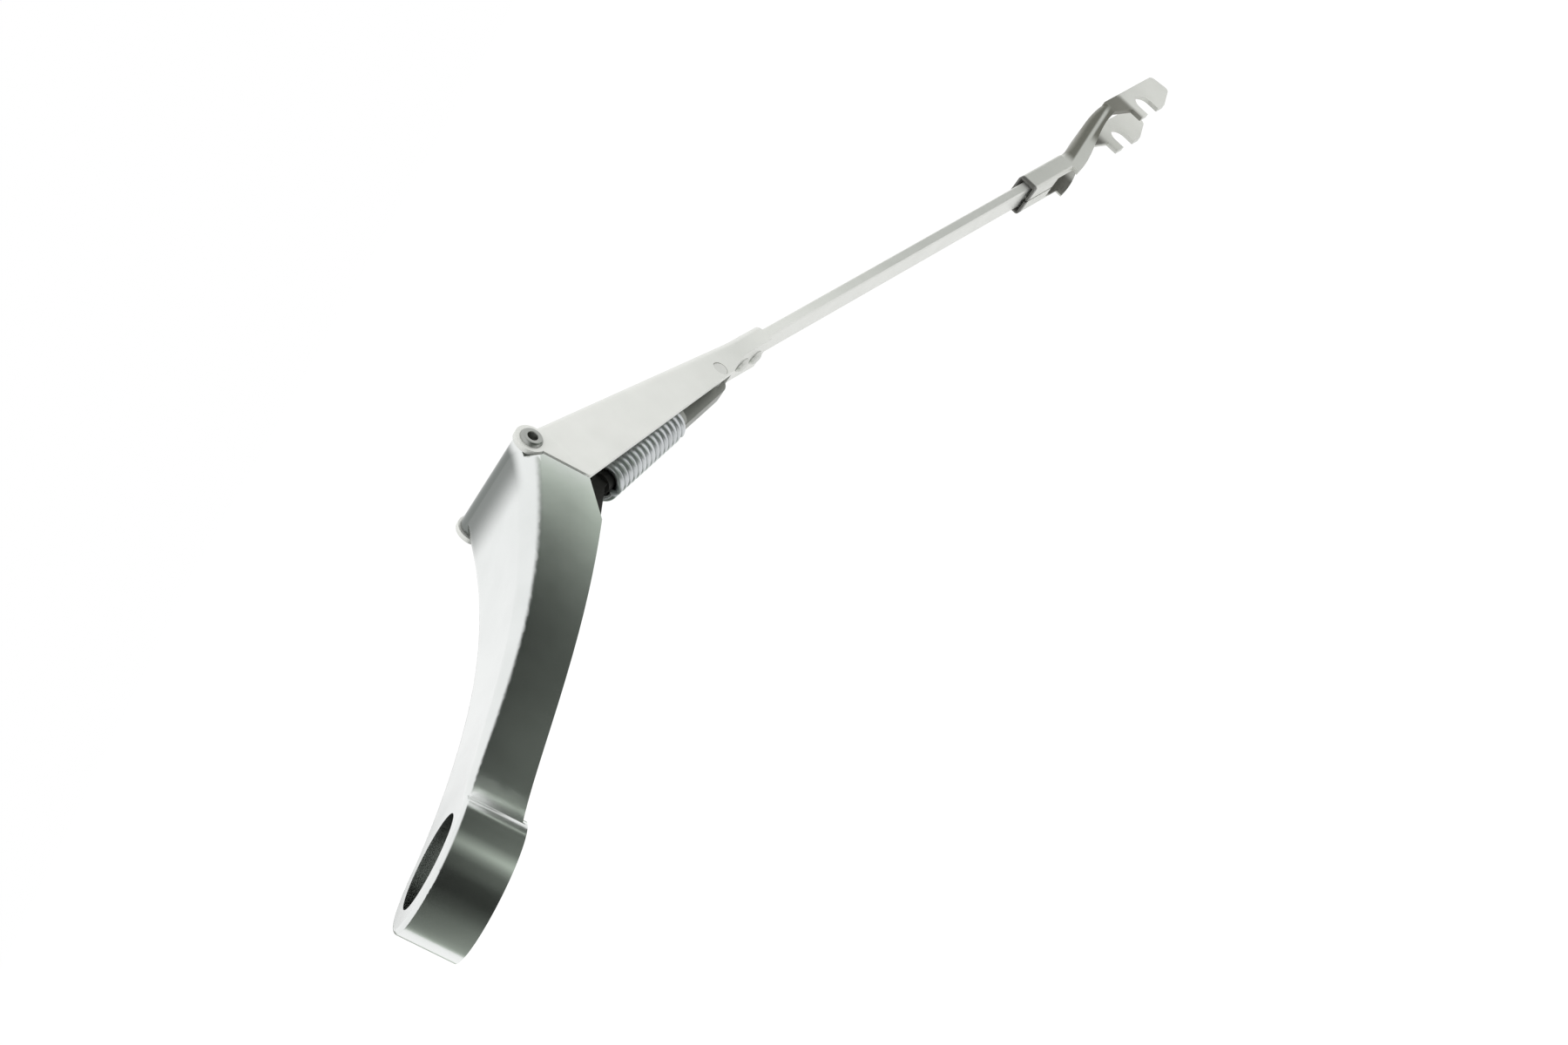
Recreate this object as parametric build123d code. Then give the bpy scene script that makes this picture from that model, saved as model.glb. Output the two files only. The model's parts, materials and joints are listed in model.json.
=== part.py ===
from build123d import *
import math
import os

# Hub on the spindle: axis Z, seat face at Z = 0
HUB_RADIUS = 14.0
HUB_HEIGHT = 12.4
HUB_RIM_ROUND = 0.9
RECESS_RADIUS = 9.5
RECESS_DEPTH = 6.6
BORE_RADIUS = 4.0
BORE_LEAD = 0.6

# Swan neck of the head casting
NECK_BOTTOM = 1.0
NECK_ROOT_HALF = 13.6
NECK_WAIST_HALF = 9.5
NECK_WAIST_SHARE = 0.31
NECK_SWEEP = 3.3
NECK_FLARE = 1.5
NECK_STATIONS = (0.06, 0.31, 0.57, 0.77, 0.92, 1.0)
NECK_END_ROUND = 4.4
NECK_WALL = 2.4
NECK_ROOF = 3.2
POCKET_STATIONS = (0.27, 0.45, 0.62, 0.78)
POCKET_ROUND = 1.2

# Hinge between head and arm: axis along Y
HINGE_X = 99.2
HINGE_Z = 24.4
FOLD_ANGLE = 26.4
PIN_RADIUS = 1.6
PIN_CLEARANCE = 0.05
PIN_HEAD_RADIUS = 2.6
PIN_RIM_RADIUS = 2.1
PIN_HEAD_HEIGHT = 0.8
PIN_HOLE_RADIUS = 1.1
PIN_HOLE_DEPTH = 2.6
KNUCKLE_RADIUS = 3.0
EAR_RADIUS = 3.5
EAR_CLEARANCE = 0.6
SIDE_CLEARANCE = 0.4
SHOULDER_SHARE = 0.8
SHOULDER_BOTTOM = 7.2
TOE_HEIGHT = 10.8
TOE_ANGLE = 32.0
STOP_GAP = 0.7

# Arm channel, folded sheet: X along the arm from the hinge, Z up
ARM_HALF_WIDTH = 14.5
SHEET = 1.2
WEB_TOP = 1.8
WEB_START = 4.2
WALL_DEPTH = 12.9
CHANNEL_LENGTH = 91.0
TIP_LENGTH = 11.0
KNEE_LENGTH = 8.0
KNEE_DEPTH = 5.5
FOLD_ROUND = 1.8
CORNER_ROUND = 1.6

# Flat rod and its rivets
ROD_WIDTH = 6.5
ROD_THICKNESS = 2.5
ROD_CHAMFER = 0.3
ROD_LENGTH = 148.0
ROD_GRIP = 14.0
CRIMP_LEAD = 1.0
SLOT_CLEARANCE = 0.05
RIVET_RADIUS = 1.25
RIVET_HEAD_RADIUS = 2.1
RIVET_HEAD_HEIGHT = 0.8
RIVET_INSET = 3.2
RIVET_PITCH = 5.2

# Spring train: both anchors are given from the hinge, along and below the arm
REAR_ANCHOR_X = -0.6
REAR_ANCHOR_DEPTH = 13.0
POST_TO_KNEE = 3.0
FRONT_ANCHOR_DEPTH = 3.6
ANCHOR_RADIUS = 1.8
ANCHOR_CLEARANCE = 0.05
ANCHOR_BLIND = 4.5
HOOK_THICKNESS = 3.4
HOOK_STRAP = 3.0
HOOK_EYE_RADIUS = 3.6
HOOK_BULGE = 4.2
HOOK_BULGE_START = 5.0
HOOK_BULGE_END = 12.0
HOOK_BEND = 2.5
COIL_START = 22.0
COIL_TURNS = 15
COIL_PITCH = 1.9
COIL_WIRE = 1.8
COIL_RADIUS = 3.5
PLUG_CLEARANCE = 0.06
PLUG_LENGTH = 7.0
DRAWBAR_SHANK_RADIUS = 2.2
DRAWBAR_SHANK_LENGTH = 16.0
DRAWBAR_COLLAR = 1.5
DRAWBAR_HEIGHT = 6.6
DRAWBAR_THICKNESS = 3.6
SEAT_GAP = 0.1
HOOK_SLOT_SIDE = 0.5
HOOK_SLOT_TOP = 20.2

# Blade clip: sleeve on the rod, rising arched neck and a fork of two notched cheeks
ROD_IN_SLEEVE = 16.0
SLEEVE_LENGTH = 20.0
SLEEVE_FLOOR_LENGTH = 13.0
SLEEVE_ROUND = 0.8
MOUTH_DEPTH = 1.6
MOUTH_FLARE = 0.7
SEAM_WIDTH = 0.5
CLIP_RISE = 5.6
CLIP_NECK_LENGTH = 30.0
CLIP_NECK_DEPTH = 3.7
CLIP_LIP_DEPTH = 2.9
CLIP_NECK_SHARES = (0.0, 0.25, 0.5, 0.75, 1.0)
CLIP_ARCH_ROUND = 1.7
CLIP_ARCH_INNER = 0.6
FORK_HALF_WIDTH = 6.6
FORK_WEB_LENGTH = 7.0
CHEEK_LENGTH = 20.0
CHEEK_DEPTH = 5.6
CHEEK_FRONT_DROP = 1.0
CHEEK_ROUND = 1.5
PRONG_LENGTH = 3.2
PRONG_WIDTH = 3.4
NOTCH_RADIUS = 2.9

# Derived sizes shared by mating pieces
SHEET_INNER_HALF = ARM_HALF_WIDTH - SHEET
KNUCKLE_HALF = SHEET_INNER_HALF - SIDE_CLEARANCE
SHOULDER_BACK = SHOULDER_SHARE * KNUCKLE_RADIUS
NECK_END_X = HINGE_X - SHOULDER_BACK
NECK_END_TOP = HINGE_Z + math.sqrt(KNUCKLE_RADIUS**2 - SHOULDER_BACK**2)
TAPER_END = CHANNEL_LENGTH - TIP_LENGTH
KNEE_X = TAPER_END - KNEE_LENGTH
FRONT_ANCHOR_X = KNEE_X - POST_TO_KNEE
WEB_UNDER = WEB_TOP - SHEET
ROD_CENTRE = WEB_UNDER - ROD_THICKNESS / 2
SLOT_HALF = ROD_WIDTH / 2 + SLOT_CLEARANCE
SLOT_FLOOR = WEB_UNDER - ROD_THICKNESS - SLOT_CLEARANCE
TIP_HALF = SLOT_HALF + SHEET
TIP_BOTTOM = SLOT_FLOOR - SHEET
ROD_START = CHANNEL_LENGTH - ROD_GRIP
ROD_END = ROD_START + ROD_LENGTH
CRIMP_START = ROD_START - CRIMP_LEAD
HOOK_SLOT_HALF = HOOK_THICKNESS / 2 + HOOK_SLOT_SIDE
ANCHOR_PIN_LOW = -HOOK_SLOT_HALF - ANCHOR_BLIND
FOLD = math.radians(FOLD_ANGLE)
ARM_FRAME = Location((HINGE_X, 0, HINGE_Z), (0, FOLD_ANGLE, 0))
SPRING_ANGLE = math.degrees(
    math.atan2(REAR_ANCHOR_DEPTH - FRONT_ANCHOR_DEPTH, FRONT_ANCHOR_X - REAR_ANCHOR_X)
)
SPRING_REACH = math.hypot(
    REAR_ANCHOR_DEPTH - FRONT_ANCHOR_DEPTH, FRONT_ANCHOR_X - REAR_ANCHOR_X
)
SPRING_FRAME = ARM_FRAME * Location(
    (REAR_ANCHOR_X, 0, -REAR_ANCHOR_DEPTH), (0, -SPRING_ANGLE, 0)
)
REAR_ANCHOR = SPRING_FRAME.position
COIL_LENGTH = COIL_TURNS * COIL_PITCH
COIL_END = COIL_START + COIL_LENGTH + COIL_WIRE
COIL_INNER = COIL_RADIUS - COIL_WIRE / 2
SLEEVE_START = ROD_END - ROD_IN_SLEEVE
SLEEVE_END = SLEEVE_START + SLEEVE_LENGTH
SLEEVE_FLOOR_END = SLEEVE_START + SLEEVE_FLOOR_LENGTH
SLEEVE_TOP = WEB_TOP + SLOT_CLEARANCE
FORK_START = SLEEVE_END + CLIP_NECK_LENGTH
FORK_WEB_END = FORK_START + FORK_WEB_LENGTH
CHEEK_TOP = SLEEVE_TOP + CLIP_RISE
CHEEK_BOTTOM = CHEEK_TOP - CHEEK_DEPTH
PRONG_TIP = CHEEK_BOTTOM - PRONG_LENGTH

# Length of a cutter that passes right through, and the least difference that counts
BIG = 60.0
SAME_PLACE = 0.01


def to_arm(x, z):
    """Turns a point given from the hinge in the head's frame into the arm's frame."""
    along = x * math.cos(FOLD) - z * math.sin(FOLD)
    up = x * math.sin(FOLD) + z * math.cos(FOLD)
    return along, up


def side_prism(outline, half_width):
    """Extrudes a face drawn in the XZ plane to both sides of it."""
    return extrude(outline, amount=half_width, both=True)


def side_face(*points):
    """A flat face in the XZ plane from its corner points."""
    return Plane.XZ * make_face(Polyline(*points, close=True))


def plan_face(*points):
    """A flat face in the XY plane, mirrored about X, from its outline on one side."""
    other = [(x, -y) for x, y in reversed(points)]
    return make_face(Polyline(*points, *other, close=True))


def cross_pin(radius, low, high):
    """A cylinder along Y between two positions."""
    return Pos(0, (low + high) / 2, 0) * Rot(90, 0, 0) * Cylinder(radius, high - low)


def neck_half_width(share):
    waist = NECK_WAIST_SHARE
    out = max(0.0, (share - waist) / (1 - waist)) ** NECK_FLARE
    root = max(0.0, (waist - share) / waist) ** NECK_FLARE
    widen = (ARM_HALF_WIDTH - NECK_WAIST_HALF) * out
    return NECK_WAIST_HALF + widen + (NECK_ROOT_HALF - NECK_WAIST_HALF) * root


def neck_section(share, side=0.0, roof=0.0, drop=0.0, corner=None):
    """One cross-section of the swan neck, or of the pocket inside it."""
    rise = share**NECK_SWEEP
    bottom = NECK_BOTTOM + (SHOULDER_BOTTOM - NECK_BOTTOM) * rise - drop
    top = HUB_HEIGHT + (NECK_END_TOP - HUB_HEIGHT) * rise - roof
    half = neck_half_width(share) - side
    if corner is None:
        corner = HUB_RIM_ROUND + (NECK_END_ROUND - HUB_RIM_ROUND) * share
    plane = Plane((share * NECK_END_X, 0, 0), x_dir=(0, 1, 0), z_dir=(1, 0, 0))
    section = plane * Pos(0, (bottom + top) / 2) * Rectangle(2 * half, top - bottom)
    return fillet(section.vertices().group_by(Axis.Z)[-1], corner)


def head():
    hub = Pos(0, 0, HUB_HEIGHT / 2) * Cylinder(HUB_RADIUS, HUB_HEIGHT)
    hub = fillet(hub.edges().filter_by(GeomType.CIRCLE).group_by(Axis.Z)[-1], HUB_RIM_ROUND)
    neck = loft([neck_section(share) for share in NECK_STATIONS])
    knuckle = Pos(HINGE_X, 0, HINGE_Z) * cross_pin(KNUCKLE_RADIUS, -KNUCKLE_HALF, KNUCKLE_HALF)
    body = hub + neck + knuckle

    # Nut recess and spindle bore
    body -= Pos(0, 0, HUB_HEIGHT - RECESS_DEPTH + BIG / 2) * Cylinder(RECESS_RADIUS, BIG)
    body -= Cylinder(BORE_RADIUS, BIG)
    lead = Cone(BORE_RADIUS + BORE_LEAD, BORE_RADIUS, BORE_LEAD)
    body -= Pos(0, 0, HUB_HEIGHT - RECESS_DEPTH - BORE_LEAD / 2) * Rot(180, 0, 0) * lead

    # Pocket under the neck
    pocket = [
        neck_section(share, NECK_WALL, NECK_ROOF, NECK_WALL, POCKET_ROUND)
        for share in POCKET_STATIONS
    ]
    body -= loft(pocket)

    # Room for the arm's ears beside the knuckle, and the hinge bore
    for side in (-1, 1):
        ear_room = cross_pin(EAR_RADIUS + EAR_CLEARANCE, 0, BIG)
        ear_room = Pos(0, KNUCKLE_HALF, 0) * ear_room
        body -= Pos(HINGE_X, 0, HINGE_Z) * Rot(0, 0, 90 - 90 * side) * ear_room
    body -= Pos(HINGE_X, 0, HINGE_Z) * cross_pin(PIN_RADIUS + PIN_CLEARANCE, -BIG, BIG)

    # Sloping toe below the stop face
    toe_reach = TOE_HEIGHT / math.tan(math.radians(TOE_ANGLE))
    toe = side_face((NECK_END_X, TOE_HEIGHT), (NECK_END_X, 0), (NECK_END_X - toe_reach, 0))
    body -= side_prism(toe, BIG)

    # Slot for the spring hook, and the blind hole of its anchor pin
    slot_back = REAR_ANCHOR.X - HOOK_EYE_RADIUS - HOOK_SLOT_SIDE
    slot = Box(NECK_END_X - slot_back, 2 * HOOK_SLOT_HALF, HOOK_SLOT_TOP)
    body -= Pos((NECK_END_X + slot_back) / 2, 0, HOOK_SLOT_TOP / 2) * slot
    anchor_hole = cross_pin(ANCHOR_RADIUS, ANCHOR_PIN_LOW, BIG)
    body -= Pos(REAR_ANCHOR.X, 0, REAR_ANCHOR.Z) * anchor_hole
    return body


def head_side_at_anchor():
    """Half width of the head where the anchor pin comes out."""
    return neck_half_width(REAR_ANCHOR.X / NECK_END_X)


def anchor_pin():
    pin = cross_pin(ANCHOR_RADIUS, ANCHOR_PIN_LOW, head_side_at_anchor() - SEAT_GAP)
    return Pos(REAR_ANCHOR.X, 0, REAR_ANCHOR.Z) * pin


def hinge_pin():
    pin = cross_pin(PIN_RADIUS, -ARM_HALF_WIDTH, ARM_HALF_WIDTH)
    rivet_head = Cone(PIN_HEAD_RADIUS, PIN_RIM_RADIUS, PIN_HEAD_HEIGHT)
    end = ARM_HALF_WIDTH + PIN_HEAD_HEIGHT
    for turn in (90, -90):
        pin += Rot(turn, 0, 0) * Pos(0, 0, end - PIN_HEAD_HEIGHT / 2) * rivet_head
        hole = Cylinder(PIN_HOLE_RADIUS, PIN_HOLE_DEPTH)
        pin -= Rot(turn, 0, 0) * Pos(0, 0, end - PIN_HOLE_DEPTH / 2) * hole
    return ARM_FRAME * pin


def arm_taper(inset):
    """Half width of the arm at its ears and at its tip, less an inset."""
    return ARM_HALF_WIDTH - inset, TIP_HALF - inset


def arm_channel():
    back = -(SHOULDER_BACK - STOP_GAP)
    ear_foot = to_arm(back, -math.sqrt(EAR_RADIUS**2 - back**2))
    heel = to_arm(back, 0)
    reach = (WALL_DEPTH + heel[1]) / math.cos(FOLD)
    heel = to_arm(back, -reach)
    lower_edge = (heel, (KNEE_X, -KNEE_DEPTH), (TAPER_END, TIP_BOTTOM), (CHANNEL_LENGTH, TIP_BOTTOM))

    # Walls with their ears, and the body that carries the web
    wall = side_face((0, 0), ear_foot, *lower_edge, (CHANNEL_LENGTH, WEB_TOP), (0, WEB_TOP))
    wall = fillet(wall.vertices().sort_by_distance((heel[0], 0, heel[1]))[0], CORNER_ROUND)
    wall += Plane.XZ * Circle(EAR_RADIUS)
    wide, narrow = arm_taper(0)
    plan = plan_face((-BIG, wide), (WEB_START, wide), (TAPER_END, narrow), (CHANNEL_LENGTH, narrow))
    shell = side_prism(wall, BIG) & extrude(plan, amount=BIG, both=True)
    shell = fillet(shell.edges().filter_by(is_fold_edge), FOLD_ROUND)

    # Hollow between the walls, open below and behind, and the rod's slot in the tip
    wide, narrow = arm_taper(SHEET)
    inner = plan_face((-BIG, wide), (WEB_START, wide), (TAPER_END, narrow))
    hollow = side_face((-BIG, WEB_UNDER), (-BIG, -BIG), (CRIMP_START, -BIG), (CRIMP_START, WEB_UNDER))
    behind = side_face((-BIG, BIG), (-BIG, 0), (WEB_START, 0), (WEB_START, BIG))
    inside = extrude(inner, amount=BIG, both=True)
    shell -= side_prism(hollow, BIG) & inside
    shell -= side_prism(behind, BIG) & inside
    slot_length = CHANNEL_LENGTH - CRIMP_START
    slot = Box(2 * slot_length, 2 * SLOT_HALF, WEB_UNDER - SLOT_FLOOR)
    shell -= Pos(CHANNEL_LENGTH, 0, (WEB_UNDER + SLOT_FLOOR) / 2) * slot

    # Holes for hinge pin, spring post and rivets
    shell -= cross_pin(PIN_RADIUS, -BIG, BIG)
    shell -= Pos(FRONT_ANCHOR_X, 0, -FRONT_ANCHOR_DEPTH) * cross_pin(ANCHOR_RADIUS, -BIG, BIG)
    for along in rivet_places():
        shell -= Pos(along, 0, 0) * Cylinder(RIVET_RADIUS, BIG)
    return ARM_FRAME * shell


def is_fold_edge(edge):
    """True for the outer edges where the web folds into the walls."""
    ends = [vertex.center() for vertex in edge.vertices()]
    on_top = all(abs(end.Z - WEB_TOP) < SAME_PLACE for end in ends)
    lengthwise = abs(ends[0].X - ends[1].X) > abs(ends[0].Y - ends[1].Y)
    return on_top and lengthwise and edge.center().X > WEB_START


def rivet_places():
    return (CHANNEL_LENGTH - RIVET_INSET, CHANNEL_LENGTH - RIVET_INSET - RIVET_PITCH)


def rod_rivet(along):
    shank = Pos(0, 0, (WEB_TOP + TIP_BOTTOM) / 2) * Cylinder(RIVET_RADIUS, WEB_TOP - TIP_BOTTOM)
    dome = Cone(RIVET_HEAD_RADIUS, RIVET_RADIUS, RIVET_HEAD_HEIGHT)
    top = Pos(0, 0, WEB_TOP + RIVET_HEAD_HEIGHT / 2) * dome
    bottom = Pos(0, 0, TIP_BOTTOM - RIVET_HEAD_HEIGHT / 2) * Rot(180, 0, 0) * dome
    return ARM_FRAME * Pos(along, 0, 0) * (shank + top + bottom)


def rod():
    bar = Box(ROD_END - ROD_START, ROD_WIDTH, ROD_THICKNESS)
    bar = Pos((ROD_START + ROD_END) / 2, 0, ROD_CENTRE) * bar
    bar = chamfer(bar.edges().filter_by(Axis.X), ROD_CHAMFER)
    for along in rivet_places():
        bar -= Pos(along, 0, 0) * Cylinder(RIVET_RADIUS, BIG)
    return ARM_FRAME * bar


def spring_post():
    slope = (TIP_HALF - ARM_HALF_WIDTH) / (TAPER_END - WEB_START)
    reach = ARM_HALF_WIDTH + slope * (FRONT_ANCHOR_X + ANCHOR_RADIUS - WEB_START)
    pin = cross_pin(ANCHOR_RADIUS, -reach, reach)
    return ARM_FRAME * Pos(FRONT_ANCHOR_X, 0, -FRONT_ANCHOR_DEPTH) * pin


def rear_hook():
    route = FilletPolyline(
        (0, 0),
        (HOOK_BULGE_START, -HOOK_BULGE),
        (HOOK_BULGE_END, -HOOK_BULGE),
        (COIL_START - HOOK_STRAP / 2, 0),
        (COIL_START, 0),
        radius=HOOK_BEND,
    )
    strap = trace(route, HOOK_STRAP) + Circle(HOOK_EYE_RADIUS)
    strap -= Circle(ANCHOR_RADIUS + ANCHOR_CLEARANCE)
    hook = side_prism(Plane.XZ * strap, HOOK_THICKNESS / 2)
    plug = Cylinder(COIL_INNER - PLUG_CLEARANCE, PLUG_LENGTH)
    hook += Pos(COIL_START - SEAT_GAP + PLUG_LENGTH / 2, 0, 0) * Rot(0, 90, 0) * plug
    return SPRING_FRAME * hook


def tension_spring():
    path = Helix(COIL_PITCH, COIL_LENGTH, COIL_RADIUS)
    wire = Plane(path @ 0, z_dir=path % 0) * Circle(COIL_WIRE / 2)
    coil = sweep(wire, path)
    return SPRING_FRAME * Pos(COIL_START + COIL_WIRE / 2, 0, 0) * Rot(0, 90, 0) * coil


def drawbar():
    eye = SPRING_REACH
    outline = Pos((COIL_END + eye) / 2, 0) * Rectangle(eye - COIL_END, DRAWBAR_HEIGHT)
    outline += Pos(eye, 0) * Circle(DRAWBAR_HEIGHT / 2)
    outline -= Pos(eye, 0) * Circle(ANCHOR_RADIUS + ANCHOR_CLEARANCE)
    bar = side_prism(Plane.XZ * outline, DRAWBAR_THICKNESS / 2)
    collar = Rot(0, 90, 0) * Cylinder(COIL_RADIUS, DRAWBAR_COLLAR)
    bar += Pos(COIL_END + SEAT_GAP + DRAWBAR_COLLAR / 2, 0, 0) * collar
    shank = Rot(0, 90, 0) * Cylinder(DRAWBAR_SHANK_RADIUS, DRAWBAR_SHANK_LENGTH)
    bar += Pos(COIL_END + DRAWBAR_COLLAR - DRAWBAR_SHANK_LENGTH / 2, 0, 0) * shank
    return SPRING_FRAME * bar


def clip_sleeve():
    """Sleeve folded round the rod's end, with a flared mouth and a seam below."""
    sleeve = Box(SLEEVE_LENGTH, 2 * TIP_HALF, SLEEVE_TOP - TIP_BOTTOM)
    sleeve = Pos((SLEEVE_START + SLEEVE_END) / 2, 0, (SLEEVE_TOP + TIP_BOTTOM) / 2) * sleeve
    sleeve = fillet(sleeve.edges().filter_by(Axis.X), SLEEVE_ROUND)
    slot_top = SLEEVE_TOP - SHEET
    slot_middle = (slot_top + SLOT_FLOOR) / 2
    height = slot_top - SLOT_FLOOR
    slot = Box(SLEEVE_LENGTH, 2 * SLOT_HALF, height)
    sleeve -= Pos((SLEEVE_START + SLEEVE_END) / 2, 0, slot_middle) * slot
    mouth = Plane((SLEEVE_START, 0, slot_middle), x_dir=(0, 1, 0), z_dir=(1, 0, 0))
    wide = Rectangle(2 * (SLOT_HALF + MOUTH_FLARE), height + 2 * MOUTH_FLARE)
    narrow = Pos(0, 0, MOUTH_DEPTH) * Rectangle(2 * SLOT_HALF, height)
    sleeve -= loft([mouth * wide, mouth * narrow])
    floor_gap = Box(SLEEVE_END - SLEEVE_FLOOR_END, 2 * SLOT_HALF, 2 * SHEET)
    sleeve -= Pos((SLEEVE_END + SLEEVE_FLOOR_END) / 2, 0, SLOT_FLOOR - SHEET) * floor_gap
    seam = Box(SLEEVE_FLOOR_LENGTH, SEAM_WIDTH, SHEET)
    return sleeve - Pos((SLEEVE_FLOOR_END + SLEEVE_START) / 2, 0, SLOT_FLOOR - SHEET / 2) * seam


def clip_neck_section(share, inset, drop, corner):
    """One arched cross-section of the clip's neck, or of the hollow under it."""
    top = SLEEVE_TOP + CLIP_RISE * share**2 * (3 - 2 * share)
    bottom = top - CLIP_NECK_DEPTH - CLIP_LIP_DEPTH * (1 - share) - drop
    half = TIP_HALF + (FORK_HALF_WIDTH - TIP_HALF) * share**2 - inset
    along = SLEEVE_END + CLIP_NECK_LENGTH * share
    plane = Plane((along, 0, 0), x_dir=(0, 1, 0), z_dir=(1, 0, 0))
    section = plane * Pos(0, (bottom + top - inset) / 2) * Rectangle(2 * half, top - inset - bottom)
    return fillet(section.vertices().group_by(Axis.Z)[-1], corner)


def clip_neck():
    shares = CLIP_NECK_SHARES
    outside = loft([clip_neck_section(share, 0, 0, CLIP_ARCH_ROUND) for share in shares])
    inside = loft([clip_neck_section(share, SHEET, SHEET, CLIP_ARCH_INNER) for share in shares])
    return outside - inside


def clip_fork():
    """Two cheeks with a notch each for the blade's cross pin, joined by a web at the back."""
    front = FORK_START + FORK_WEB_LENGTH + CHEEK_LENGTH
    notch_at = FORK_WEB_END + PRONG_WIDTH + NOTCH_RADIUS
    outline = make_face(
        Polyline(
            (FORK_START, CHEEK_TOP),
            (front - CHEEK_FRONT_DROP, CHEEK_TOP),
            (front, CHEEK_BOTTOM),
            (notch_at + NOTCH_RADIUS + PRONG_WIDTH, PRONG_TIP),
            (FORK_WEB_END, PRONG_TIP),
            (FORK_WEB_END, CHEEK_BOTTOM),
            (FORK_START, CHEEK_TOP - CLIP_NECK_DEPTH),
            close=True,
        )
    )
    nose = outline.vertices().filter_by(lambda vertex: vertex.X > FORK_WEB_END + PRONG_WIDTH)
    outline = fillet(nose, CHEEK_ROUND)
    outline -= Pos(notch_at, PRONG_TIP) * Rectangle(2 * NOTCH_RADIUS, 2 * NOTCH_RADIUS)
    outline -= Pos(notch_at, PRONG_TIP + NOTCH_RADIUS) * Circle(NOTCH_RADIUS)
    fork = side_prism(Plane.XZ * outline, FORK_HALF_WIDTH)
    under_web = side_face(
        (FORK_START, CHEEK_TOP - SHEET),
        (FORK_WEB_END, CHEEK_TOP - SHEET),
        (FORK_WEB_END, BIG),
        (front + BIG, BIG),
        (front + BIG, -BIG),
        (FORK_START, -BIG),
    )
    return fork - side_prism(under_web, FORK_HALF_WIDTH - SHEET)


def blade_clip():
    return ARM_FRAME * (clip_sleeve() + clip_neck() + clip_fork())


NODES = {
    "head": head,
    "anchor_pin": anchor_pin,
    "hinge_pin": hinge_pin,
    "arm_channel": arm_channel,
    "rear_hook": rear_hook,
    "tension_spring": tension_spring,
    "drawbar": drawbar,
    "spring_post": spring_post,
    "rod": rod,
    "rod_rivet_front": lambda: rod_rivet(rivet_places()[0]),
    "rod_rivet_rear": lambda: rod_rivet(rivet_places()[1]),
    "blade_clip": blade_clip,
}

os.makedirs("parts", exist_ok=True)
for node, make in NODES.items():
    export_step(make(), f"parts/{node}.step")
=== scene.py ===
import json
import math

import bpy
from mathutils import Matrix, Vector


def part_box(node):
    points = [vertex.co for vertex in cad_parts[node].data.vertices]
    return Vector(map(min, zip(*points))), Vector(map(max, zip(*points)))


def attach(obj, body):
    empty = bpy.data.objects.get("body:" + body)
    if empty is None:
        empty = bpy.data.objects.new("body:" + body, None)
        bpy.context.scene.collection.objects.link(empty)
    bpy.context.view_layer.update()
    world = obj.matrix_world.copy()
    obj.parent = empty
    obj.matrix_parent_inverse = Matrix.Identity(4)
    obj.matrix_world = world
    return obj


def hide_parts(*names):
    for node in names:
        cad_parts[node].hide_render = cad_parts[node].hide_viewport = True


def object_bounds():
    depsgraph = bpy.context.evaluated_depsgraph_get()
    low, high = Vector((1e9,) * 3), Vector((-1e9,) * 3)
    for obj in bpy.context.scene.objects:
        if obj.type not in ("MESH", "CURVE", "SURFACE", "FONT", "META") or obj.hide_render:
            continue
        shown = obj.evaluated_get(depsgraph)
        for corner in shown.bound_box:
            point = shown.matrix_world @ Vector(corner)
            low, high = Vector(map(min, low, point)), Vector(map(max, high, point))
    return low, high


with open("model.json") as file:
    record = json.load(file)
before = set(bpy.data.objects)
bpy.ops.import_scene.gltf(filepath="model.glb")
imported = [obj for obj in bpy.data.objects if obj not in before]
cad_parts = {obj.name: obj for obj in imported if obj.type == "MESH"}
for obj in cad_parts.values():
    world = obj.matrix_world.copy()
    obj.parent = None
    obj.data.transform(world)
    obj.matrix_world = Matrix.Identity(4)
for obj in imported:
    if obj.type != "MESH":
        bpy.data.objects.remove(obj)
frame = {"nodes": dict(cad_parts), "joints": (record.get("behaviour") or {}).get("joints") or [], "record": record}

cad_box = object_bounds()
MM = 0.001


# Places and lengths on the part in millimetres, partly read from the frame

def named(rows, name):
    """The row of a list in the frame that has this name."""
    return next(row for row in rows if row["name"] == name)


def turned(ahead, up, degrees):
    """Place along and above a line through the origin that is turned about the cross axis."""
    angle = math.radians(degrees)
    along = ahead * math.cos(angle) + up * math.sin(angle)
    above = up * math.cos(angle) - ahead * math.sin(angle)
    return along, above


HEAD_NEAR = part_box("head")[0].y / MM
HINGE = Vector(named(frame["joints"], "arm_hinge")["pos_m"]) / MM
NOTCH_AXIS = Vector(named(frame["record"]["mounts"], "blade_notch")["axis"])
# Turns in degrees that lay the arm's line level, and then the clip's rising neck
ARM_TURN = math.degrees(math.atan2(NOTCH_AXIS.x, -NOTCH_AXIS.z))
NECK_RISE = 15.0

# Lengths of the clip along the arm, from the mouth of its sleeve
SLEEVE_LENGTH = 20.0
NECK_LENGTH = 30.0
FORK_WEB_LENGTH = 7.0
clip_corners = [
    turned(corner.co.x / MM, corner.co.z / MM, ARM_TURN)
    for corner in frame["nodes"]["blade_clip"].data.vertices
]
SLEEVE_MOUTH = min(along for along, above in clip_corners)
NECK_START = SLEEVE_MOUTH + SLEEVE_LENGTH
NECK_END = NECK_START + NECK_LENGTH
FORK_WEB_END = NECK_END + FORK_WEB_LENGTH
SLEEVE_TOP = max(above for along, above in clip_corners if along < NECK_START)
# Height of the neck's start once its rise is taken out
NECK_TOP = turned(NECK_START, SLEEVE_TOP, NECK_RISE)[1]
# Places within the clip's far wall, at the sleeve and at the fork
SLEEVE_FAR_WALL = 3.9
FORK_FAR_WALL = 5.8

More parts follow.
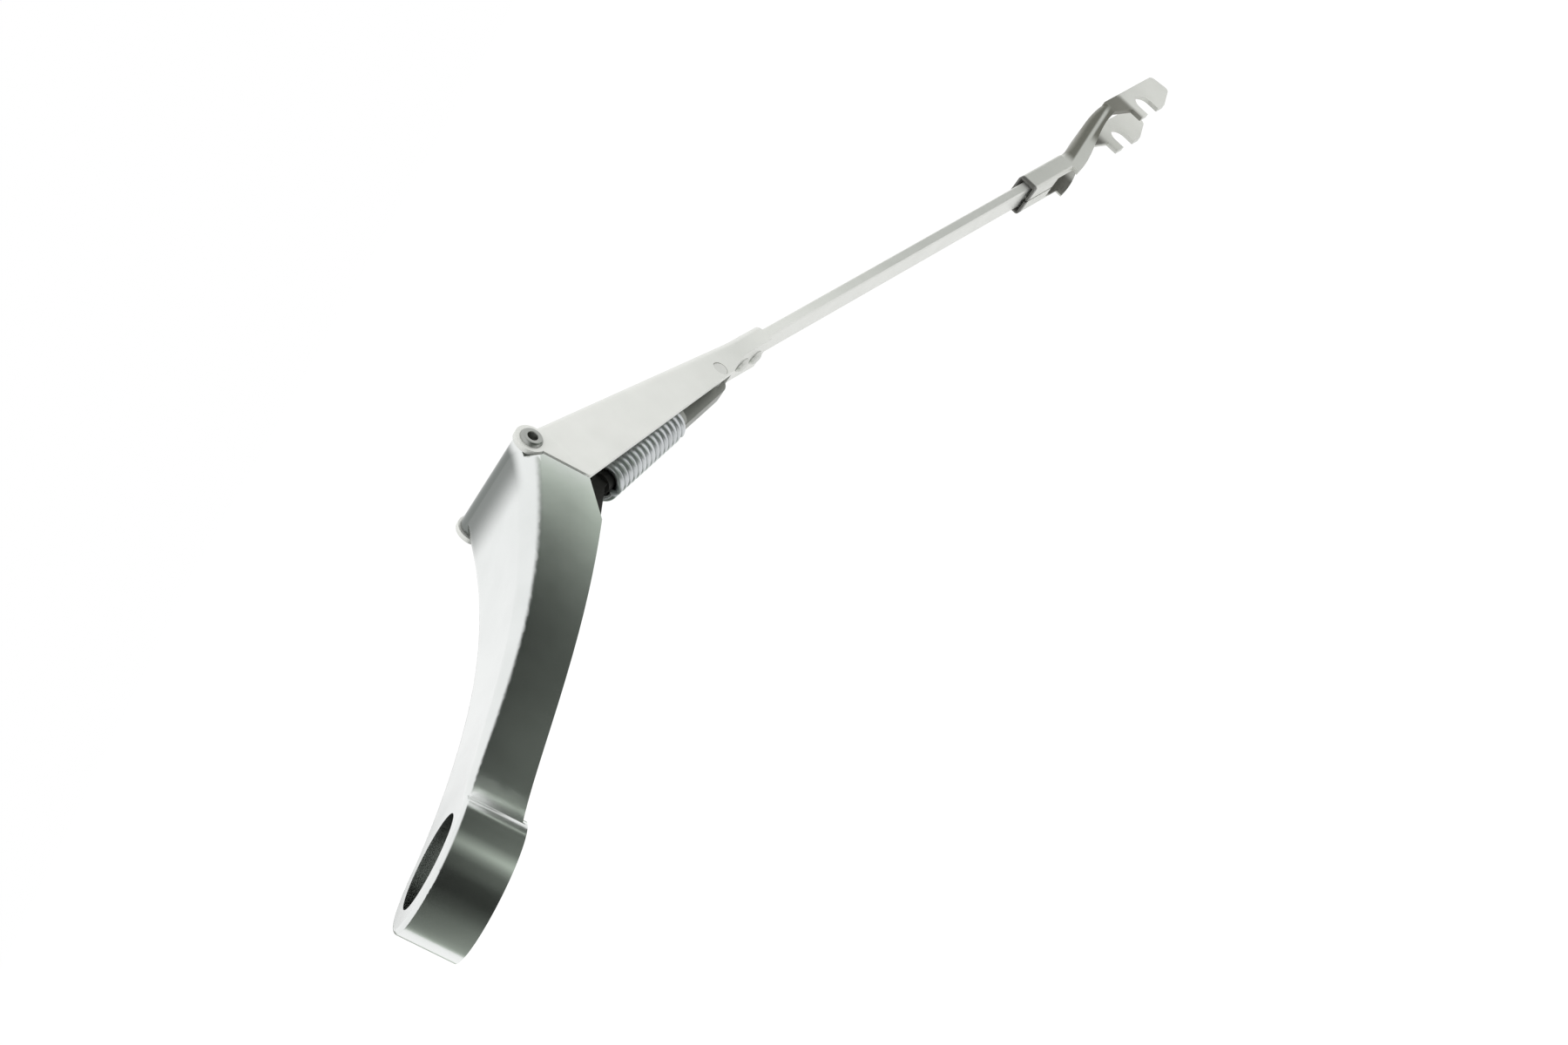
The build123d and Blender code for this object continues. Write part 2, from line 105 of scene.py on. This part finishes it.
# Radius of the nut recess, and the hub's top
RECESS_RADIUS = 9.5
HUB_TOP = 12.4


# Finishes

# Scale and detail of the noise
CLOUD_NOISE = (90, 4)
WEAR_NOISE = (260, 3)
NOISE_LOW = 0.3
NOISE_HIGH = 0.7
# Scale and detail of the grain's noise, and its depth in millimetres
COATED_GRAIN = (500, 2, 0.02)
DRAWN_GRAIN = (2000, 2, 0.02)
OXIDE_GRAIN = (2000, 2, 0.03)
GRAIN_STRENGTH = 0.06

# Stretches in millimetres over which a tint sets in, each measured from a place on the part
# The knuckle's stretches place painted shade on the head's hinge end
KNUCKLE_ALONG = (-13.7, -3.7)
KNUCKLE_UP = (-3.9, -1.4)
KNUCKLE_INWARD = (2.0, 5.0)
# The recess's stretches place painted shade inside the nut recess
RECESS_WALL = (0.25, 0.10)
RECESS_RIM = (-0.2, -0.6)
# The next seven stretches place painted shade on the clip's bent neck
NECK_SHADE_START = (0, 4)
NECK_SHADE_END = (1.5, -1.5)
NECK_SHADE_NEAR = (4, 0)
NECK_SHADE_ALONG_TOP = (-3.95, -3.35)
NECK_SHADE_UNDER_STRIPE = (-4.25, -4.85)
NECK_SHADE_OUTER_HALF = (13, 18)
NECK_SHADE_FORK_ROOT = (-3, 1)
# The inside stretches place painted shade on the clip's inner face
INSIDE_START = (0, 2)
INSIDE_END = (4, 0)
INSIDE_FACE = (0.5, 1.5)
INSIDE_WALL = (0.3, 0)
# Stretch of the painted shadow at the sleeve's mouth
MOUTH_EDGE = (1.7, 1.0)
# Stretches of the clip with painted shade on its inner face, from the neck's start and end
LIP_STRETCH = (-6, 6)
CHEEK_STRETCH = (-5, 4)

# Grey of the painted shade on the head's hinge knuckle
KNUCKLE_PAINTED_SHADE = (0.20, 0.215, 0.205)
# Grey of the painted shade inside the nut recess
RECESS_PAINTED_SHADE = (0.55, 0.57, 0.55)
# Grey of the painted shade on the clip's bent neck
NECK_PAINTED_SHADE = (0.20, 0.20, 0.17)
# Grey of the painted shade on the clip's inner face
INSIDE_PAINTED_SHADE = (0.16, 0.16, 0.14)
# Grey of the painted shadow at the sleeve's mouth
MOUTH_PAINTED_SHADOW = (0.14, 0.14, 0.13)


def between(nodes, links, value, start, end):
    """A node that goes from 0 to 1 between two places in millimetres."""
    share = nodes.new("ShaderNodeMapRange")
    share.inputs["From Min"].default_value = start * MM
    share.inputs["From Max"].default_value = end * MM
    links.new(value, share.inputs["Value"])
    return share


class Finish:
    """A metal's material on object coordinates."""

    def __init__(self, name):
        self.material = bpy.data.materials.new(name)
        self.material.use_nodes = True
        self.nodes = self.material.node_tree.nodes
        self.links = self.material.node_tree.links
        self.shader = self.nodes["Principled BSDF"]
        self.spot = self.nodes.new("ShaderNodeTexCoord").outputs["Object"]

    def noise(self, scale, detail):
        cloud = self.nodes.new("ShaderNodeTexNoise")
        cloud.inputs["Scale"].default_value = scale
        cloud.inputs["Detail"].default_value = detail
        self.links.new(self.spot, cloud.inputs["Vector"])
        return cloud.outputs["Fac"]

    def cloud_colour(self, dark, light):
        """Soft clouding between two colours."""
        ramp = self.nodes.new("ShaderNodeValToRGB")
        low, high = ramp.color_ramp.elements
        low.position = NOISE_LOW
        low.color = (*dark, 1)
        high.position = NOISE_HIGH
        high.color = (*light, 1)
        self.links.new(self.noise(*CLOUD_NOISE), ramp.inputs["Fac"])
        self.links.new(ramp.outputs["Color"], self.shader.inputs["Base Color"])

    def wear_gloss(self, low, high):
        """Gloss that wanders between two values of roughness."""
        spread = self.nodes.new("ShaderNodeMapRange")
        spread.inputs["From Min"].default_value = NOISE_LOW
        spread.inputs["From Max"].default_value = NOISE_HIGH
        spread.inputs["To Min"].default_value = low
        spread.inputs["To Max"].default_value = high
        self.links.new(self.noise(*WEAR_NOISE), spread.inputs["Value"])
        self.links.new(spread.outputs["Result"], self.shader.inputs["Roughness"])

    def cut_grain(self, scale, detail, depth):
        """Fine grain of the surface."""
        bump = self.nodes.new("ShaderNodeBump")
        bump.inputs["Strength"].default_value = GRAIN_STRENGTH
        bump.inputs["Distance"].default_value = depth * MM
        self.links.new(self.noise(scale, detail), bump.inputs["Height"])
        self.links.new(bump.outputs["Normal"], self.shader.inputs["Normal"])

    def over(self, value, origin, stretch):
        """A node for a tint that sets in over a stretch from a place."""
        start, end = stretch
        return between(self.nodes, self.links, value, origin + start, origin + end)

    def on_axis(self, axis, origin, stretch, turn=0):
        """A tint's share over a stretch of an axis, after a turn about the cross axis."""
        level = self.nodes.new("ShaderNodeMapping")
        level.inputs["Rotation"].default_value = (0, math.radians(turn), 0)
        self.links.new(self.spot, level.inputs["Vector"])
        split = self.nodes.new("ShaderNodeSeparateXYZ")
        self.links.new(level.outputs["Vector"], split.inputs["Vector"])
        share = self.over(split.outputs[axis], origin, stretch)
        share.interpolation_type = "SMOOTHSTEP"
        return share.outputs["Result"]

    def along_arm(self, origin, stretch):
        return self.on_axis("X", origin, stretch, ARM_TURN)

    def above_neck(self, stretch):
        return self.on_axis("Z", NECK_TOP, stretch, ARM_TURN + NECK_RISE)

    def around_spindle(self, origin, stretch):
        """A tint's share over a stretch outwards from the spindle's axis."""
        flat = self.nodes.new("ShaderNodeVectorMath")
        flat.operation = "MULTIPLY"
        flat.inputs[1].default_value = (1, 1, 0)
        self.links.new(self.spot, flat.inputs[0])
        radius = self.nodes.new("ShaderNodeVectorMath")
        radius.operation = "LENGTH"
        self.links.new(flat.outputs["Vector"], radius.inputs[0])
        return self.over(radius.outputs["Value"], origin, stretch).outputs["Result"]

    def product(self, share, *others):
        for other in others:
            times = self.nodes.new("ShaderNodeMath")
            times.operation = "MULTIPLY"
            self.links.new(share, times.inputs[0])
            self.links.new(other, times.inputs[1])
            share = times.outputs["Value"]
        return share

    def tint(self, share, colour):
        """Blends a colour in by a share that runs over the piece."""
        base = self.shader.inputs["Base Color"]
        blend = self.nodes.new("ShaderNodeMix")
        blend.data_type = "RGBA"
        blend.inputs["B"].default_value = (*colour, 1)
        self.links.new(share, blend.inputs["Factor"])
        self.links.new(base.links[0].from_socket, blend.inputs["A"])
        self.links.new(blend.outputs["Result"], base)


def metal(name, dark, light, metallic, roughness, grain):
    """Metal or metal paint with soft clouding, an uneven gloss and a fine grain."""
    finish = Finish(name)
    finish.cloud_colour(dark, light)
    finish.wear_gloss(*roughness)
    finish.cut_grain(*grain)
    finish.shader.inputs["Metallic"].default_value = metallic
    return finish


def add_knuckle_shade(finish):
    """Painted shade where the head turns over into the hinge, clear of its near side."""
    along = finish.on_axis("X", HINGE.x, KNUCKLE_ALONG)
    above = finish.on_axis("Z", HINGE.z, KNUCKLE_UP)
    inward = finish.on_axis("Y", HEAD_NEAR, KNUCKLE_INWARD)
    finish.tint(finish.product(along, above, inward), KNUCKLE_PAINTED_SHADE)


def add_recess_shade(finish):
    """Painted shade inside the nut recess."""
    inside = finish.around_spindle(RECESS_RADIUS, RECESS_WALL)
    below = finish.on_axis("Z", HUB_TOP, RECESS_RIM)
    finish.tint(finish.product(inside, below), RECESS_PAINTED_SHADE)


def add_neck_shade(finish):
    """Painted shade on the clip's bent neck: along its top, below a lighter untinted stripe that stands in for a
    highlight, and at the fork's root.
    """
    start = finish.along_arm(NECK_START, NECK_SHADE_START)
    end = finish.along_arm(FORK_WEB_END, NECK_SHADE_END)
    near = finish.on_axis("Y", 0, NECK_SHADE_NEAR)
    stretch = finish.product(start, end, near)
    along_top = finish.above_neck(NECK_SHADE_ALONG_TOP)
    under_stripe = finish.product(
        finish.above_neck(NECK_SHADE_UNDER_STRIPE), finish.along_arm(NECK_START, NECK_SHADE_OUTER_HALF)
    )
    fork_root = finish.along_arm(NECK_END, NECK_SHADE_FORK_ROOT)
    for share in (along_top, under_stripe, fork_root):
        finish.tint(finish.product(stretch, share), NECK_PAINTED_SHADE)


def add_inside_shade(finish, origin, stretch, wall):
    """Painted shade on the inner face of the clip's far wall, over a stretch along the arm."""
    first, last = stretch
    start = finish.along_arm(origin + first, INSIDE_START)
    end = finish.along_arm(origin + last, INSIDE_END)
    inner = finish.on_axis("Y", 0, INSIDE_FACE)
    outer = finish.on_axis("Y", wall, INSIDE_WALL)
    finish.tint(finish.product(start, end, inner, outer), INSIDE_PAINTED_SHADE)


def add_mouth_shadow(finish):
    """Painted shadow on the rolled edge at the mouth of the clip's sleeve."""
    finish.tint(finish.along_arm(SLEEVE_MOUTH, MOUTH_EDGE), MOUTH_PAINTED_SHADOW)


def cast_silver():
    finish = metal(
        "cast_silver",
        dark=(0.78, 0.80, 0.79),
        light=(0.83, 0.85, 0.84),
        metallic=1.0,
        roughness=(0.15, 0.19),
        grain=COATED_GRAIN,
    )
    # Painted shade on the hinge knuckle
    add_knuckle_shade(finish)
    # Painted shade inside the nut recess
    add_recess_shade(finish)
    return finish.material


def sheet_silver():
    finish = metal(
        "sheet_silver",
        dark=(0.74, 0.75, 0.715),
        light=(0.78, 0.79, 0.755),
        metallic=0.45,
        roughness=(0.34, 0.42),
        grain=COATED_GRAIN,
    )
    return finish.material


def clip_silver():
    finish = metal(
        "clip_silver",
        # A darker copy of the arm's silver paint, which the clip shares: the lower greys are painted shade
        dark=(0.66, 0.67, 0.63),
        light=(0.70, 0.71, 0.67),
        metallic=0.45,
        roughness=(0.34, 0.42),
        grain=COATED_GRAIN,
    )
    # Painted shade and a painted highlight stripe on the clip's neck
    add_neck_shade(finish)
    # Painted shade inside the clip's far wall
    add_inside_shade(finish, NECK_START, LIP_STRETCH, SLEEVE_FAR_WALL)
    add_inside_shade(finish, NECK_END, CHEEK_STRETCH, FORK_FAR_WALL)
    # Painted shadow at the sleeve's mouth
    add_mouth_shadow(finish)
    return finish.material


def pin_steel():
    finish = metal(
        "pin_steel",
        dark=(0.34, 0.35, 0.33),
        light=(0.44, 0.45, 0.43),
        metallic=1.0,
        roughness=(0.30, 0.42),
        grain=DRAWN_GRAIN,
    )
    return finish.material


def rivet_steel():
    finish = metal(
        "rivet_steel",
        dark=(0.60, 0.61, 0.58),
        light=(0.68, 0.69, 0.66),
        metallic=0.7,
        roughness=(0.34, 0.46),
        grain=DRAWN_GRAIN,
    )
    return finish.material


def spring_zinc():
    finish = metal(
        "spring_zinc",
        dark=(0.54, 0.56, 0.57),
        light=(0.62, 0.64, 0.65),
        metallic=1.0,
        roughness=(0.28, 0.38),
        grain=DRAWN_GRAIN,
    )
    return finish.material


def oxide_steel():
    finish = metal(
        "oxide_steel",
        dark=(0.022, 0.022, 0.020),
        light=(0.040, 0.040, 0.036),
        metallic=0.6,
        roughness=(0.38, 0.52),
        grain=OXIDE_GRAIN,
    )
    return finish.material


def drawbar_steel():
    finish = metal(
        "drawbar_steel",
        dark=(0.25, 0.26, 0.235),
        light=(0.31, 0.32, 0.295),
        metallic=0.6,
        roughness=(0.36, 0.50),
        grain=OXIDE_GRAIN,
    )
    return finish.material


# Pieces

# Millimetres and degrees
MERGE_DISTANCE = 0.004
FLAT_ANGLE = 0.4
EDGE_ANGLE = 32
EDGE_SEGMENTS = 2
SMOOTH_ANGLE = 35
COIL_SMOOTH_ANGLE = 50
# Highest weight of the large faces in the shading
FLAT_WEIGHT = 100


def pick(piece):
    bpy.ops.object.select_all(action="DESELECT")
    piece.select_set(True)
    bpy.context.view_layer.objects.active = piece


def merged_copy(node, name):
    """The CAD solid's surface as one joined mesh of its own."""
    source = frame["nodes"][node]
    piece = bpy.data.objects.new(name, source.data.copy())
    bpy.context.scene.collection.objects.link(piece)
    piece.data.materials.clear()
    pick(piece)
    bpy.ops.object.mode_set(mode="EDIT")
    bpy.ops.mesh.select_all(action="SELECT")
    bpy.ops.mesh.remove_doubles(threshold=MERGE_DISTANCE * MM)
    bpy.ops.mesh.customdata_custom_splitnormals_clear()
    bpy.ops.mesh.dissolve_limited(angle_limit=math.radians(FLAT_ANGLE))
    bpy.ops.object.mode_set(mode="OBJECT")
    return piece


def break_edges(piece, width):
    """Rounds the sharp edges, as on a real pressed, cast or turned piece."""
    pick(piece)
    bevel = piece.modifiers.new("edges", "BEVEL")
    bevel.width = width * MM
    bevel.segments = EDGE_SEGMENTS
    bevel.limit_method = "ANGLE"
    bevel.angle_limit = math.radians(EDGE_ANGLE)
    bevel.miter_outer = "MITER_ARC"
    bpy.ops.object.modifier_apply(modifier=bevel.name)
    bpy.ops.object.shade_smooth_by_angle(angle=math.radians(SMOOTH_ANGLE))
    flats = piece.modifiers.new("flats", "WEIGHTED_NORMAL")
    flats.mode = "FACE_AREA"
    flats.weight = FLAT_WEIGHT
    flats.keep_sharp = True
    bpy.ops.object.modifier_apply(modifier=flats.name)


def smooth_wire(piece):
    """Shades the coil's round wire, which has no sharp edge to break."""
    pick(piece)
    bpy.ops.object.shade_smooth_by_angle(angle=math.radians(COIL_SMOOTH_ANGLE))


def seat(piece, node, body, material):
    """Puts a finished piece in a CAD node's stead."""
    piece.data.materials.append(material)
    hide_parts(node)
    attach(piece, body)


bright_sheet = sheet_silver()
turned_steel = pin_steel()
headed_steel = rivet_steel()
# CAD node, piece, body, slot, material and the width of its broken edges in millimetres
PIECES = (
    ("head", "head_casting", "head", "cast_head", cast_silver(), 0.35),
    ("anchor_pin", "anchor_pin_turned", "head", "pin_steel", turned_steel, 0.25),
    ("hinge_pin", "hinge_pin_riveted", "arm", "pin_steel", turned_steel, 0.25),
    ("arm_channel", "arm_channel_pressed", "arm", "silver_sheet", bright_sheet, 0.22),
    ("rear_hook", "rear_hook_strap", "link", "dark_steel", oxide_steel(), 0.35),
    ("tension_spring", "tension_spring_coil", "link", "plated_spring", spring_zinc(), 0),
    ("drawbar", "drawbar_flat", "drawbar", "dark_steel", drawbar_steel(), 0.35),
    ("spring_post", "spring_post_pin", "arm", "pin_steel", headed_steel, 0.25),
    ("rod", "rod_flat", "arm", "silver_sheet", bright_sheet, 0.15),
    ("rod_rivet_front", "rivet_front", "arm", "pin_steel", headed_steel, 0.25),
    ("rod_rivet_rear", "rivet_rear", "arm", "pin_steel", headed_steel, 0.25),
    # The clip's finish is the arm's silver paint darkened with painted shade
    ("blade_clip", "blade_clip_folded", "arm", "silver_sheet", clip_silver(), 0.22),
)
for node, name, body, slot, material, edge in PIECES:
    piece = merged_copy(node, name)
    if edge:
        break_edges(piece, edge)
    else:
        smooth_wire(piece)
    seat(piece, node, body, material)


# Floor, backdrop and light, in metres

FLOOR_SIZE = 8.0
FLOOR_CENTRE_X = 0.1
FLOOR_DROP = 0.002
FLOOR_Z = cad_box[0].z - FLOOR_DROP
FLOOR_GREY = 0.86
FLOOR_GLOW = 1.08
FLOOR_GLOW_SHARE = 0.9
AIR_LIGHT = 0.68
AIR_SEEN = 1.0


def seen_directly(nodes, links, share):
    """A share for what the camera, the metal and glass see, and none for the light on matt surfaces."""
    path = nodes.new("ShaderNodeLightPath")
    seen = path.outputs["Is Camera Ray"]
    for other in ("Is Glossy Ray", "Is Transmission Ray"):
        either = nodes.new("ShaderNodeMath")
        either.operation = "MAXIMUM"
        links.new(seen, either.inputs[0])
        links.new(path.outputs[other], either.inputs[1])
        seen = either.outputs["Value"]
    part = nodes.new("ShaderNodeMath")
    part.operation = "MULTIPLY"
    part.inputs[1].default_value = share
    links.new(seen, part.inputs[0])
    return part.outputs["Value"]


def stage_material(name):
    """An empty material that isn't sampled as a lamp."""
    material = bpy.data.materials.new(name)
    material.use_nodes = True
    material.cycles.emission_sampling = "NONE"
    nodes = material.node_tree.nodes
    nodes.remove(nodes["Principled BSDF"])
    return material, nodes, material.node_tree.links


def pale_ground():
    """Pale floor that looks white to the camera and in the metal, and keeps a soft shadow."""
    material, nodes, links = stage_material("pale_ground")
    matt = nodes.new("ShaderNodeBsdfDiffuse")
    matt.inputs["Color"].default_value = (FLOOR_GREY, FLOOR_GREY, FLOOR_GREY, 1)
    glow = nodes.new("ShaderNodeEmission")
    glow.inputs["Strength"].default_value = FLOOR_GLOW
    mix = nodes.new("ShaderNodeMixShader")
    links.new(seen_directly(nodes, links, FLOOR_GLOW_SHARE), mix.inputs["Fac"])
    links.new(matt.outputs["BSDF"], mix.inputs[1])
    links.new(glow.outputs["Emission"], mix.inputs[2])
    links.new(mix.outputs["Shader"], nodes["Material Output"].inputs["Surface"])
    return material


def studio_floor():
    bpy.ops.object.select_all(action="DESELECT")
    bpy.ops.mesh.primitive_plane_add(size=FLOOR_SIZE, location=(FLOOR_CENTRE_X, 0, FLOOR_Z))
    floor = bpy.context.active_object
    floor.name = "studio_floor"
    floor.data.materials.append(pale_ground())


def studio_air():
    """White surroundings that light the part at a plain level."""
    world = bpy.data.worlds.new("studio_air")
    bpy.context.scene.world = world
    world.use_nodes = True
    world.cycles.sampling_method = "NONE"
    nodes = world.node_tree.nodes
    links = world.node_tree.links
    backdrop = nodes["Background"]
    backdrop.inputs["Color"].default_value = (1, 1, 1, 1)
    strength = nodes.new("ShaderNodeMapRange")
    strength.inputs["To Min"].default_value = AIR_LIGHT
    strength.inputs["To Max"].default_value = AIR_SEEN
    links.new(seen_directly(nodes, links, 1), strength.inputs["Value"])
    links.new(strength.outputs["Result"], backdrop.inputs["Strength"])


def soft_lamp(name, location, target, size, power):
    lamp = bpy.data.lights.new(name, "AREA")
    lamp.shape = "DISK"
    lamp.size = size
    lamp.energy = power
    holder = bpy.data.objects.new(name, lamp)
    bpy.context.scene.collection.objects.link(holder)
    holder.location = location
    aim = Vector(target) - Vector(location)
    holder.rotation_euler = aim.to_track_quat("-Z", "Y").to_euler()
    # The metal mirrors the pale surroundings, so no lamp burns out a flat face
    holder.visible_glossy = False


studio_floor()
studio_air()
soft_lamp("key_lamp", location=(-0.15, -0.45, 0.80), target=(0.12, 0, 0), size=0.8, power=3)
soft_lamp("side_lamp", location=(0.70, -0.55, 0.62), target=(0.15, 0, -0.02), size=0.8, power=2)


# Grey cards beside the stage that only the metal reflects, in millimetres

CARD_DROP = 1
CARD_BOTTOM = cad_box[0].z / MM - CARD_DROP
CARD_TINT = (0.90, 1.0, 0.88)
# Heights over which a card darkens, and over which it fades into the air
DARKENING = (-10, 6)
DARKENING_SHARE = (1.3, 0.7)
FADING = (12, 45)


def card_shade(name, axis, stops):
    """Shade that runs along a card, a little darker upwards, and fades into the air above."""
    material, nodes, links = stage_material(name)
    spot = nodes.new("ShaderNodeTexCoord")
    split = nodes.new("ShaderNodeSeparateXYZ")
    links.new(spot.outputs["Object"], split.inputs["Vector"])
    first, last = stops[0][0], stops[-1][0]
    along = between(nodes, links, split.outputs[axis], first, last)
    ramp = nodes.new("ShaderNodeValToRGB")
    knots = ramp.color_ramp.elements
    while len(knots) < len(stops):
        knots.new(1.0)
    for knot, (stop, grey) in zip(knots, stops):
        knot.position = (stop - first) / (last - first)
        knot.color = (*(grey * share for share in CARD_TINT), 1)
    links.new(along.outputs["Result"], ramp.inputs["Fac"])
    darken = between(nodes, links, split.outputs["Z"], *DARKENING)
    darken.inputs["To Min"].default_value = DARKENING_SHARE[0]
    darken.inputs["To Max"].default_value = DARKENING_SHARE[1]
    shade = nodes.new("ShaderNodeVectorMath")
    shade.operation = "SCALE"
    links.new(ramp.outputs["Color"], shade.inputs[0])
    links.new(darken.outputs["Result"], shade.inputs["Scale"])
    fade = between(nodes, links, split.outputs["Z"], *FADING)
    fade.interpolation_type = "SMOOTHSTEP"
    blend = nodes.new("ShaderNodeMix")
    blend.data_type = "RGBA"
    blend.inputs["B"].default_value = (1, 1, 1, 1)
    links.new(fade.outputs["Result"], blend.inputs["Factor"])
    links.new(shade.outputs["Vector"], blend.inputs["A"])
    glow = nodes.new("ShaderNodeEmission")
    links.new(blend.outputs["Result"], glow.inputs["Color"])
    links.new(glow.outputs["Emission"], nodes["Material Output"].inputs["Surface"])
    return material


def grey_card(name, start, end, top, axis, stops):
    """An upright card between two places of the floor, with greys at places along an axis."""
    run = (Vector(end) - Vector(start)) * MM
    middle = (Vector(start) + Vector(end)) / 2 * MM
    bpy.ops.object.select_all(action="DESELECT")
    bpy.ops.mesh.primitive_plane_add(
        size=1,
        location=(middle.x, middle.y, (CARD_BOTTOM + top) / 2 * MM),
        rotation=(math.radians(90), 0, math.atan2(run.y, run.x)),
    )
    card = bpy.context.active_object
    card.name = name
    card.scale = (run.length, (top - CARD_BOTTOM) * MM, 1)
    bpy.ops.object.transform_apply(location=True, rotation=True, scale=True)
    card.data.materials.append(card_shade(name, axis, stops))
    card.visible_camera = False
    card.visible_diffuse = False
    card.visible_shadow = False
    card.visible_transmission = False


grey_card("neck_card", start=(-60, -50), end=(125, -50), top=50, axis="X", stops=(
    (-60, 0.036), (-45, 0.045), (-32, 0.10), (-19, 0.12), (-11, 0.26), (-3, 0.52), (5, 0.32), (13, 0.16),
    (40, 0.12), (62, 0.12), (80, 0.075), (90, 0.085), (98, 0.14), (106, 0.24), (115, 0.50), (125, 0.95),
))
grey_card("far_neck_card", start=(10, 60), end=(150, 60), top=20, axis="X", stops=(
    (10, 0.70), (25, 0.24), (60, 0.14), (95, 0.10), (120, 0.28), (150, 0.95),
))
grey_card("root_card", start=(128, -54), end=(128, -12), top=-8, axis="Y", stops=(
    (-54, 0.10), (-12, 0.10),
))
grey_card("hub_card", start=(-60, -50), end=(-60, 180), top=20, axis="Y", stops=(
    (-50, 0.036), (-29, 0.034), (-8, 0.08), (11, 0.16), (35, 0.20), (116, 0.28), (180, 0.50),
))
grey_card("rod_card", start=(252, -45), end=(430, -45), top=-10, axis="X", stops=(
    (252, 0.75), (270, 0.15), (430, 0.15),
))


# Camera at the photograph's angle, with its aim and distance in millimetres

FRAME_PIXELS = 1800
FOCAL_PIXELS = 3883.16
SENSOR_WIDTH = 36.0
AZIMUTH = math.radians(-50.99)
ELEVATION = math.radians(10.15)
ROLL = math.radians(-62.18)
AIM = Vector((94.19, -29.5, -25.42))
DISTANCE = 657.28


def photograph_camera():
    camera = bpy.data.cameras.new("view")
    camera.sensor_fit = "HORIZONTAL"
    camera.sensor_width = SENSOR_WIDTH
    camera.lens = FOCAL_PIXELS / FRAME_PIXELS * SENSOR_WIDTH
    camera.clip_start = 0.01
    camera.clip_end = 50
    viewer = bpy.data.objects.new("view", camera)
    bpy.context.scene.collection.objects.link(viewer)
    back = Vector((
        math.sin(AZIMUTH) * math.cos(ELEVATION),
        -math.cos(AZIMUTH) * math.cos(ELEVATION),
        math.sin(ELEVATION),
    ))
    level = Vector((math.cos(AZIMUTH), math.sin(AZIMUTH), 0))
    upright = back.cross(level)
    right = math.cos(ROLL) * level + math.sin(ROLL) * upright
    up = math.cos(ROLL) * upright - math.sin(ROLL) * level
    stand = Matrix((right, up, back)).transposed().to_4x4()
    stand.translation = (AIM + back * DISTANCE) * MM
    viewer.matrix_world = stand
    bpy.context.scene.camera = viewer


photograph_camera()
bpy.context.scene.view_settings.view_transform = "Standard"
